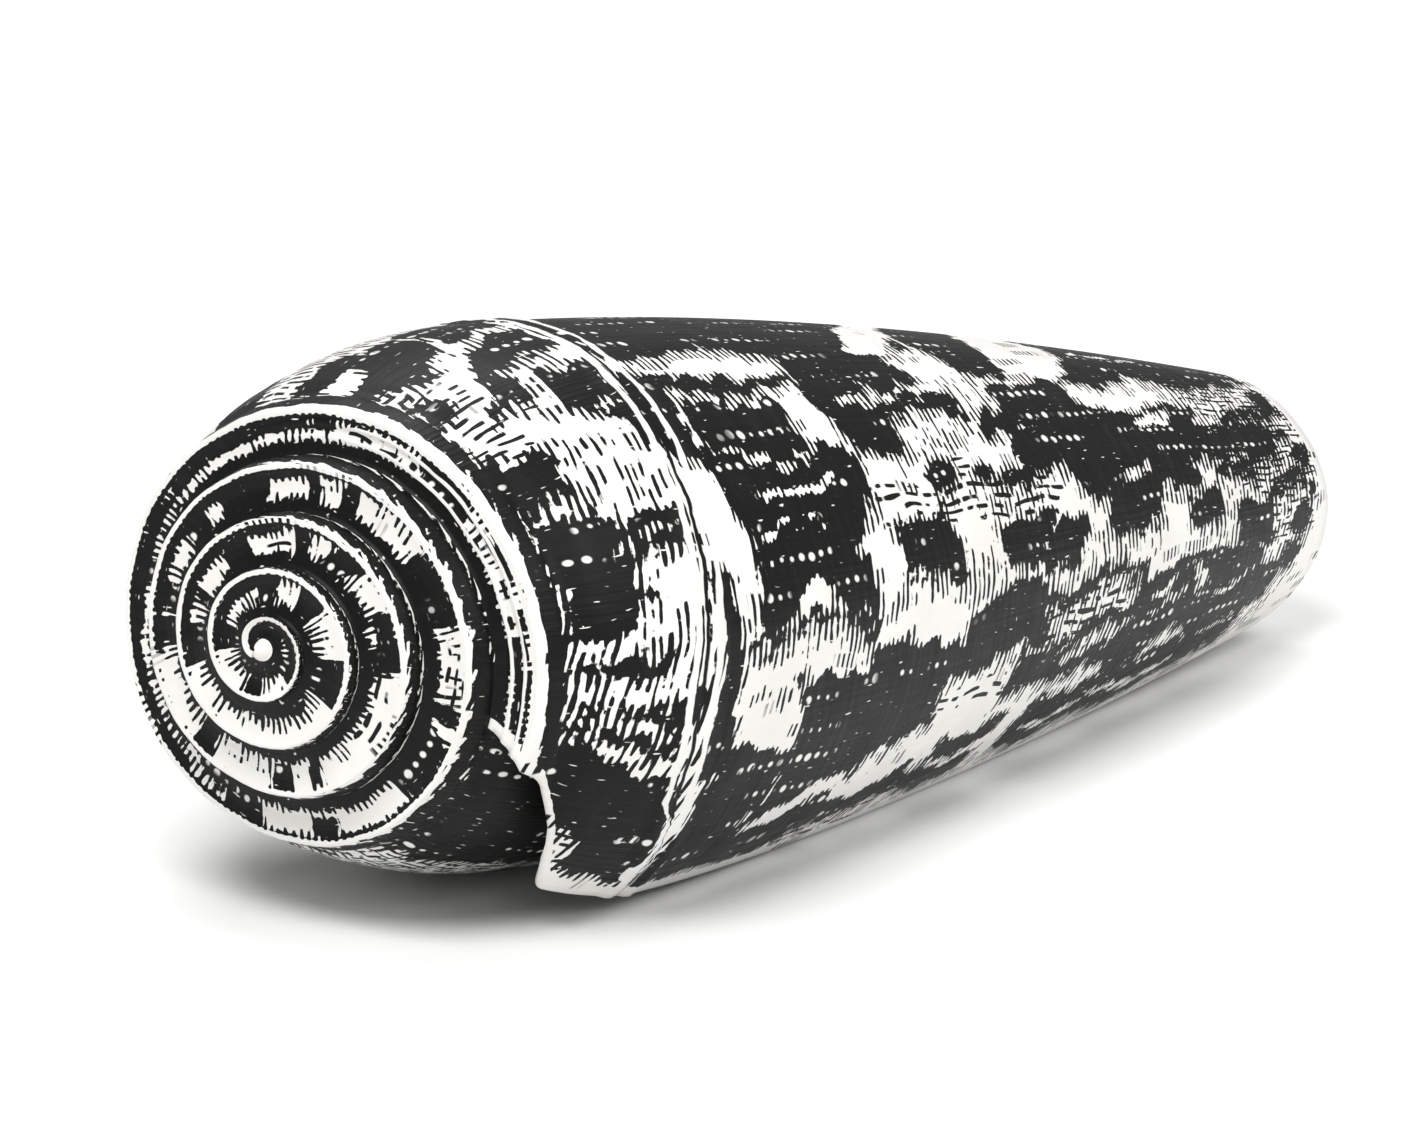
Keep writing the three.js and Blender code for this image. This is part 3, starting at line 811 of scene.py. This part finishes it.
def cell_corners(grid):
    """The four corners of each cell of a grid."""
    corners = (grid[:-1, :-1], grid[:-1, 1:], grid[1:, 1:], grid[1:, :-1])
    return np.stack(corners, axis=2).reshape((-1, 4) + grid.shape[2:])


class Skin:
    """Points and faces, with the pattern's marks at every corner of every face."""

    def __init__(self):
        self.points = []
        self.faces = []
        self.count = 0

    def add_points(self, points):
        numbers = self.count + np.arange(points[..., 0].size).reshape(points.shape[:-1])
        self.points.append(points.reshape(-1, 3))
        self.count += numbers.size
        return numbers

    def add_faces(self, corners, marks):
        self.faces.append((corners, marks))

    def add_grid(self, numbers, marks):
        """Joins a grid of numbered points with quads."""
        self.add_faces(cell_corners(numbers), cell_corners(marks))

    def add_cap(self, loop, centre):
        """Closes a loop towards a centre, as a smooth dome or hollow."""
        edge = np.concatenate(self.points)[loop]
        rings = [loop]
        for t in np.arange(1, END_RINGS) / END_RINGS:
            points = mix(edge, centre, t)
            points[:, 0] = mix(edge[:, 0], centre[0], 1 - (1 - t) ** 2)
            rings.append(self.add_points(points))
        grid = np.array(rings).T
        grid = np.concatenate([grid, grid[:1]])[::-1]
        self.add_grid(grid, plain_marks(grid.shape))
        middle = np.full(len(loop), self.add_points(np.array([centre]))[0])
        last = rings[-1]
        tips = np.stack([last, np.roll(last, -1), middle], axis=1)
        self.add_faces(tips, plain_marks(tips.shape))

    def mesh(self, name):
        used = np.unique(np.concatenate([corners.ravel() for corners, _ in self.faces]))
        compact = np.zeros(self.count, int)
        compact[used] = np.arange(len(used))
        faces = [face for corners, _ in self.faces for face in compact[corners].tolist()]
        marks = np.concatenate([marks.reshape(-1, 6) for _, marks in self.faces])
        mesh = bpy.data.meshes.new(name)
        mesh.from_pydata(lay_down(np.concatenate(self.points)[used]).tolist(), [], faces)
        add_corner_vectors(mesh, "pattern", marks[:, :3])
        add_corner_vectors(mesh, "pigment", marks[:, 3:])
        mesh.polygons.foreach_set("use_smooth", np.ones(len(mesh.polygons), bool))
        return mesh


def add_corner_vectors(mesh, name, vectors):
    values = vectors.astype(np.float32).ravel()
    mesh.attributes.new(name, "FLOAT_VECTOR", "CORNER").data.foreach_set("vector", values)


def lay_down(points):
    """Turns the shell onto its mouth and fits it to the frame's box, in metres."""
    dip = np.array(Matrix.Rotation(REST_DIP, 3, "Y"))
    turned = points @ dip.T
    low, high = (np.array(corner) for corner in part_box("shell"))
    size = (high[0] - low[0]) / np.ptp(turned[:, 0])
    middle = (turned.max(0) + turned.min(0)) / 2
    anchor = np.array([middle[0], middle[1], turned[:, 2].min()])
    return (turned - anchor) * size + np.array([(low[0] + high[0]) / 2, (low[1] + high[1]) / 2, low[2]])


def add_band(skin, outside, inside, ahead):
    """The rounded edge of the wall, between two rows of numbers and points."""
    across = (np.arange(WALL_ROWS + 1) / WALL_ROWS)[None, :, None]
    bulge = EDGE_ROUNDING * LIP_WALL * np.sin(math.pi * across)
    points = mix(outside[1][:, None], inside[1][:, None], across) + bulge * ahead
    band = skin.add_points(points)
    band[:, 0] = outside[0]
    band[:, -1] = inside[0]
    return band


def build_surface():
    skin = Skin()
    steps = np.arange(APEX_STEP + 1)[:, None]
    rows = np.arange(FRONT_ROW + 1)[None, :]
    outer_points = place(*outline(steps, rows), turn_at(steps, rows))
    outer = skin.add_points(outer_points)
    outer[: APEX_STEP + 1 - TURN_STEPS, 0] = outer[TURN_STEPS:, SUTURE_ROW]

    channel = np.arange(CHANNEL_STEPS + 1)[:, None]
    inner_points = place(*inside_outline(channel, rows), turn_at(channel, rows))
    inner = skin.add_points(inner_points)
    inner[:, 0] = outer[TURN_STEPS : TURN_STEPS + CHANNEL_STEPS + 1, ROOT_ROW]

    add_outside(skin, outer, steps, rows)
    skin.add_grid(inner.T, plain_marks(inner.T.shape))
    front_band = add_edges(skin, outer, inner, outer_points, inner_points)
    add_channel_end(skin, outer[TURN_STEPS + CHANNEL_STEPS], inner[CHANNEL_STEPS])

    around_front = outer[CHANNEL_STEPS : CHANNEL_STEPS + TURN_STEPS + 1, FRONT_ROW][::-1]
    skin.add_cap(np.concatenate([around_front, front_band[-1, 1:]]), (LENGTH - FRONT_HOLLOW, 0, 0))
    around_apex = outer[APEX_STEP - TURN_STEPS : APEX_STEP, 0]
    skin.add_cap(np.concatenate([around_apex, outer[APEX_STEP, :SUTURE_ROW]]), (-NUB_HEIGHT, 0, 0))
    return skin.mesh("shell_surface")


def add_outside(skin, outer, steps, rows):
    ramp = rows[:, : CREST_ROW + 1]
    skin.add_grid(outer[:, : CREST_ROW + 1], ramp_marks(steps, ramp))
    wall = slice(CREST_ROW, SUTURE_ROW + 1)
    skin.add_grid(outer[:, wall], side_marks(steps, rows[:, wall]))
    body = slice(SUTURE_ROW, FRONT_ROW + 1)
    turn = slice(0, TURN_STEPS + 1)
    skin.add_grid(outer[turn, body], side_marks(steps[turn], rows[:, body]))
    pillar = slice(ROOT_ROW, FRONT_ROW + 1)
    open_turn = slice(TURN_STEPS, TURN_STEPS + CHANNEL_STEPS + 1)
    skin.add_grid(outer[open_turn, pillar], side_marks(steps[open_turn], rows[:, pillar]))


def add_edges(skin, outer, inner, outer_points, inner_points):
    """The lip's edge and the rim of the front end. Returns the rim's numbers."""
    lip_turn = turn_at(0, np.arange(FRONT_ROW + 1))[:, None]
    ahead = place(0, 1, lip_turn + QUARTER_TURN)
    lip = add_band(skin, (outer[0], outer_points[0]), (inner[0], inner_points[0]), ahead)
    front = (slice(0, CHANNEL_STEPS + 1), FRONT_ROW)
    outside = outer[front], outer_points[front]
    rim = add_band(skin, outside, (inner[front], inner_points[front]), FORWARD)
    lip[0] = outer[TURN_STEPS, SUTURE_ROW : ROOT_ROW + 1]
    lip[-1] = rim[0]
    for band in (lip, rim):
        skin.add_grid(band, plain_marks(band.shape))
    return rim


def add_channel_end(skin, pillar_edge, wall_edge):
    """The end of the channel, between the whorl before and the inside of the wall."""
    strip = np.stack([pillar_edge[ROOT_ROW:], wall_edge[ROOT_ROW:]], axis=1)
    skin.add_grid(strip[::-1], plain_marks(strip.shape))
    corner = np.arange(1, ROOT_ROW)
    start = np.full(len(corner), pillar_edge[ROOT_ROW])
    fan = np.stack([start, wall_edge[corner + 1], wall_edge[corner]], axis=1)
    skin.add_faces(fan, plain_marks(fan.shape))


class Graph:
    """Short ways to add and join shader nodes."""

    def __init__(self, material):
        material.use_nodes = True
        self.tree = material.node_tree
        self.shader = self.tree.nodes["Principled BSDF"]

    def node(self, kind, **properties):
        node = self.tree.nodes.new("ShaderNode" + kind)
        for name, value in properties.items():
            setattr(node, name, value)
        return node

    def feed(self, socket, value):
        if isinstance(value, bpy.types.NodeSocket):
            self.tree.links.new(value, socket)
        else:
            socket.default_value = value

    def math(self, operation, a, b=0.0, c=0.0):
        node = self.node("Math", operation=operation)
        for socket, value in zip(node.inputs, (a, b, c)):
            self.feed(socket, value)
        return node.outputs[0]

    def step(self, value, low, high, to_low=0.0, to_high=1.0):
        """A smooth step from to_low at low to to_high at high."""
        node = self.node("MapRange", interpolation_type="SMOOTHSTEP")
        for socket, number in zip(node.inputs, (value, low, high, to_low, to_high)):
            self.feed(socket, number)
        return node.outputs[0]

    def vector(self, x, y, z=0.0):
        node = self.node("CombineXYZ")
        for socket, value in zip(node.inputs, (x, y, z)):
            self.feed(socket, value)
        return node.outputs[0]

    def attribute(self, name):
        """The parts of a vector attribute."""
        vector = self.node("Attribute", attribute_name=name).outputs["Vector"]
        parts = self.node("SeparateXYZ")
        self.feed(parts.inputs[0], vector)
        return parts.outputs

    def noise(self, x, y, kind):
        """One of the noises listed above, from about -1 to 1."""
        size_x, size_y, detail, layer = kind
        place = self.vector(self.math("DIVIDE", x, size_x), self.math("DIVIDE", y, size_y), layer)
        node = self.node("TexNoise")
        self.feed(node.inputs["Vector"], place)
        node.inputs["Scale"].default_value = 1.0
        node.inputs["Detail"].default_value = detail
        return self.math("MULTIPLY_ADD", node.outputs["Fac"], NOISE_SPAN, -NOISE_SPAN / 2)

    def from_middle(self, place):
        """How far a place lies from the middle of the cell that it is in, from -0.5 to 0.5."""
        return self.math("SUBTRACT", self.math("FRACT", place), 0.5)

    def mix(self, factor, a, b):
        """Mixes two colours."""
        node = self.node("Mix", data_type="RGBA")
        for number, value in zip(MIX_INPUTS, (factor, a, b)):
            self.feed(node.inputs[number], value)
        return node.outputs[MIX_OUTPUT]


def comb(graph, beside, along, spacing, wandering, lengths):
    """Strokes side by side: 1 on a stroke and negative between two, and how far each one reaches."""
    wander = graph.noise(beside, along, wandering)
    place = graph.math("MULTIPLY_ADD", wander, STROKE_WANDER, graph.math("DIVIDE", beside, spacing))
    off = graph.math("ABSOLUTE", graph.from_middle(place))
    line = graph.step(off, *STROKE_EDGE, 1.0, STROKE_GAP)
    length = graph.noise(graph.math("FLOOR", place), along, lengths)
    return line, graph.step(length, *MOST_NOISE, *STROKE_REACH)


def stroked(graph, depth, line, reach):
    """The dark whose depth this is, with strokes that reach out of it."""
    return graph.step(graph.math("MULTIPLY_ADD", line, reach, depth), -EDGE_BLUR, EDGE_BLUR)


def dot_rows(graph, x, y, depth):
    """Rows of small light dots along the shell, well inside the dark patches."""
    spacing_x, spacing_y = DOT_SPACING
    wander = graph.noise(x, y, DOT_WANDER)
    place_x = graph.math("DIVIDE", x, spacing_x)
    place_y = graph.math("MULTIPLY_ADD", wander, DOT_ROW_WANDER, graph.math("DIVIDE", y, spacing_y))
    column = graph.math("FLOOR", place_x)
    row = graph.math("FLOOR", place_y)
    from_x = graph.math("MULTIPLY", graph.from_middle(place_x), spacing_x / DOT_LENGTH)
    from_y = graph.math("MULTIPLY", graph.from_middle(place_y), spacing_y)
    from_y = graph.math("MULTIPLY_ADD", graph.noise(column, row, DOT_SHIFT), DOT_OFF_ROW, from_y)
    distance = graph.node("VectorMath", operation="LENGTH")
    graph.feed(distance.inputs[0], graph.vector(from_x, from_y))
    radius = graph.step(graph.noise(column, row, DOT_SIZE), *MOST_NOISE, *DOT_RADIUS)
    dots = graph.step(graph.math("SUBTRACT", radius, distance.outputs["Value"]), -DOT_BLUR, DOT_BLUR)
    present = graph.step(graph.noise(x, row, DOT_GAPS), *DOT_PRESENT)
    inside = graph.step(depth, *DOT_DEPTH)
    return graph.math("MULTIPLY", graph.math("MULTIPLY", dots, present), inside)


def ticks(graph, x, y, line):
    """Rows of short strokes on the light ground."""
    wander = graph.noise(x, y, TICK_WANDER)
    place = graph.math("MULTIPLY_ADD", wander, TICK_ROW_WANDER, graph.math("DIVIDE", y, TICK_SPACING))
    off = graph.math("ABSOLUTE", graph.from_middle(place))
    window = graph.step(off, *TICK_END, 1.0, 0.0)
    present = graph.step(graph.noise(x, graph.math("FLOOR", place), TICK_GAPS), *TICK_PRESENT)
    stroke = graph.step(line, *TICK_EDGE)
    return graph.math("MULTIPLY", graph.math("MULTIPLY", stroke, window), present)


def rings(graph, x, y, ring):
    """The light lines of the rings and cords, and the dark line between the scar's two rings."""
    waver = graph.noise(x, y, RING_WAVER)
    size = graph.math("ABSOLUTE", graph.math("MULTIPLY_ADD", waver, RING_WAVERING, ring))
    off = graph.math("ABSOLUTE", graph.math("SUBTRACT", size, 1.0))
    light = graph.step(off, RING_CORE * RING_LINE, RING_LINE, 1.0, 0.0)
    on_side = graph.math("LESS_THAN", x, RAMP_PATTERN_START / 2)
    middle = graph.step(size, MIDDLE_CORE * MIDDLE_LINE, MIDDLE_LINE, 1.0, 0.0)
    return light, graph.math("MULTIPLY", middle, on_side)


def dark_share(graph, x, y, ring, depth, stacked):
    """How dark the pigment is."""
    leaning = graph.math("MULTIPLY_ADD", y, -STROKE_LEAN, x)
    line, reach = comb(graph, leaning, y, COMB_SPACING, COMB_WANDER, COMB_LENGTH)
    ragged = graph.math("MULTIPLY_ADD", graph.noise(x, y, RAGGED), RAGGED_REACH, depth)
    dark = stroked(graph, ragged, line, reach)
    dark = graph.math("SUBTRACT", dark, dot_rows(graph, x, y, depth))
    dark = graph.math("MAXIMUM", dark, ticks(graph, x, y, line))

    line, reach = comb(graph, y, x, STACK_SPACING, STACK_WANDER, STACK_LENGTH)
    dark = graph.math("MAXIMUM", dark, stroked(graph, stacked, line, reach))

    light, middle = rings(graph, x, y, ring)
    dark = graph.math("MULTIPLY", dark, graph.math("SUBTRACT", 1.0, light))
    dark = graph.math("MAXIMUM", dark, middle)
    speck = graph.step(graph.noise(x, y, SPECKS), *SPECK_EDGE, 1.0, SPECK_DARK)
    return graph.math("MULTIPLY", dark, speck)


def shell_colour(graph, x, y, dark, porcelain):
    cloud = graph.step(graph.noise(x, y, CLOUDS), -1.0, 1.0)
    light = graph.mix(cloud, IVORY, IVORY_SHADE)
    light = graph.mix(porcelain, light, PORCELAIN)
    ink = graph.mix(graph.step(graph.noise(x, y, WORN_INK), *WORN_EDGE), INK, INK_WORN)
    return graph.mix(dark, light, ink)


def shell_bump(graph, x, y, dark):
    """Fine growth lines round the shell and threads along it, with the ink lying on top."""
    threads = graph.noise(x, y, THREADS)
    relief = graph.math("MULTIPLY_ADD", threads, THREAD_HEIGHT, graph.noise(x, y, GROWTH_LINES))
    bump_node = graph.node("Bump")
    bump_node.inputs["Distance"].default_value = BUMP_HEIGHT
    graph.feed(bump_node.inputs["Height"], graph.math("MULTIPLY_ADD", dark, INK_HEIGHT, relief))
    return bump_node.outputs[0]


def shell_material():
    material = bpy.data.materials.new("shell_pigment")
    graph = Graph(material)
    x, y, ring = graph.attribute("pattern")
    depth, porcelain, stacked = graph.attribute("pigment")
    dark = dark_share(graph, x, y, ring, depth, stacked)
    dark = graph.math("MULTIPLY", dark, graph.math("SUBTRACT", 1.0, porcelain))
    roughness = graph.step(dark, 0.0, 1.0, *ROUGHNESS)
    roughness = graph.math("MULTIPLY_ADD", graph.noise(x, y, WORN_GLOSS), ROUGHNESS_CHANGE, roughness)

    inputs = graph.shader.inputs
    graph.feed(inputs["Base Color"], shell_colour(graph, x, y, dark, porcelain))
    graph.feed(inputs["Roughness"], roughness)
    graph.feed(inputs["Specular IOR Level"], SPECULAR)
    graph.feed(inputs["Normal"], shell_bump(graph, x, y, dark))
    return material


def add_shell():
    shell = bpy.data.objects.new("shell_surface", build_surface())
    bpy.context.scene.collection.objects.link(shell)
    shell.data.materials.append(shell_material())
    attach(shell, "root")
    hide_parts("shell")


def add_floor():
    bpy.ops.mesh.primitive_plane_add(size=FLOOR_SIZE)
    floor = bpy.context.object
    floor.name = "floor"
    material = bpy.data.materials.new("floor_paper")
    graph = Graph(material)
    graph.shader.inputs["Base Color"].default_value = FLOOR_COLOUR
    graph.shader.inputs["Roughness"].default_value = FLOOR_ROUGHNESS
    graph.shader.inputs["Specular IOR Level"].default_value = FLOOR_SPECULAR
    floor.data.materials.append(material)
    floor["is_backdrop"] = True


def direction(azimuth, elevation):
    """From the shell towards an azimuth (0 is -Y, growing towards +X) and an elevation, in degrees."""
    a, e = math.radians(azimuth), math.radians(elevation)
    return Vector((math.sin(a) * math.cos(e), -math.cos(a) * math.cos(e), math.sin(e)))


def add_light(name, azimuth, elevation, size, power):
    light = bpy.data.lights.new(name, "AREA")
    light.shape = "DISK"
    light.size = size
    light.energy = power
    lamp = bpy.data.objects.new(name, light)
    towards = direction(azimuth, elevation)
    lamp.location = LIGHT_DISTANCE * towards
    lamp.rotation_euler = towards.to_track_quat("Z", "Y").to_euler()
    bpy.context.scene.collection.objects.link(lamp)


def add_camera():
    camera = bpy.data.cameras.new("camera")
    camera.sensor_width = SENSOR
    camera.lens = SENSOR * CAMERA_DISTANCE / VIEW_WIDTH
    holder = bpy.data.objects.new("camera", camera)
    back = direction(CAMERA_AZIMUTH, CAMERA_ELEVATION)
    right = Vector((math.cos(math.radians(CAMERA_AZIMUTH)), math.sin(math.radians(CAMERA_AZIMUTH)), 0))
    up = back.cross(right)
    low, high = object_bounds()
    middle = (Vector(low) + Vector(high)) / 2
    aim = middle + AIM_RIGHT * right + AIM_UP * up
    holder.location = aim + CAMERA_DISTANCE * back
    holder.rotation_euler = back.to_track_quat("Z", "Y").to_euler()
    bpy.context.scene.collection.objects.link(holder)
    bpy.context.scene.camera = holder


def set_world():
    world = bpy.data.worlds.new("studio")
    world.use_nodes = True
    background = world.node_tree.nodes["Background"]
    background.inputs["Color"].default_value = (1, 1, 1, 1)
    background.inputs["Strength"].default_value = WORLD_STRENGTH
    bpy.context.scene.world = world
    bpy.context.scene.view_settings.view_transform = "Standard"


SIDE_PATCHES = SHOULDER_PATCHES + BODY_PATCHES + tuple(scattered_patches())

add_shell()
add_floor()
for light in LIGHTS:
    add_light(*light)
add_camera()
set_world()
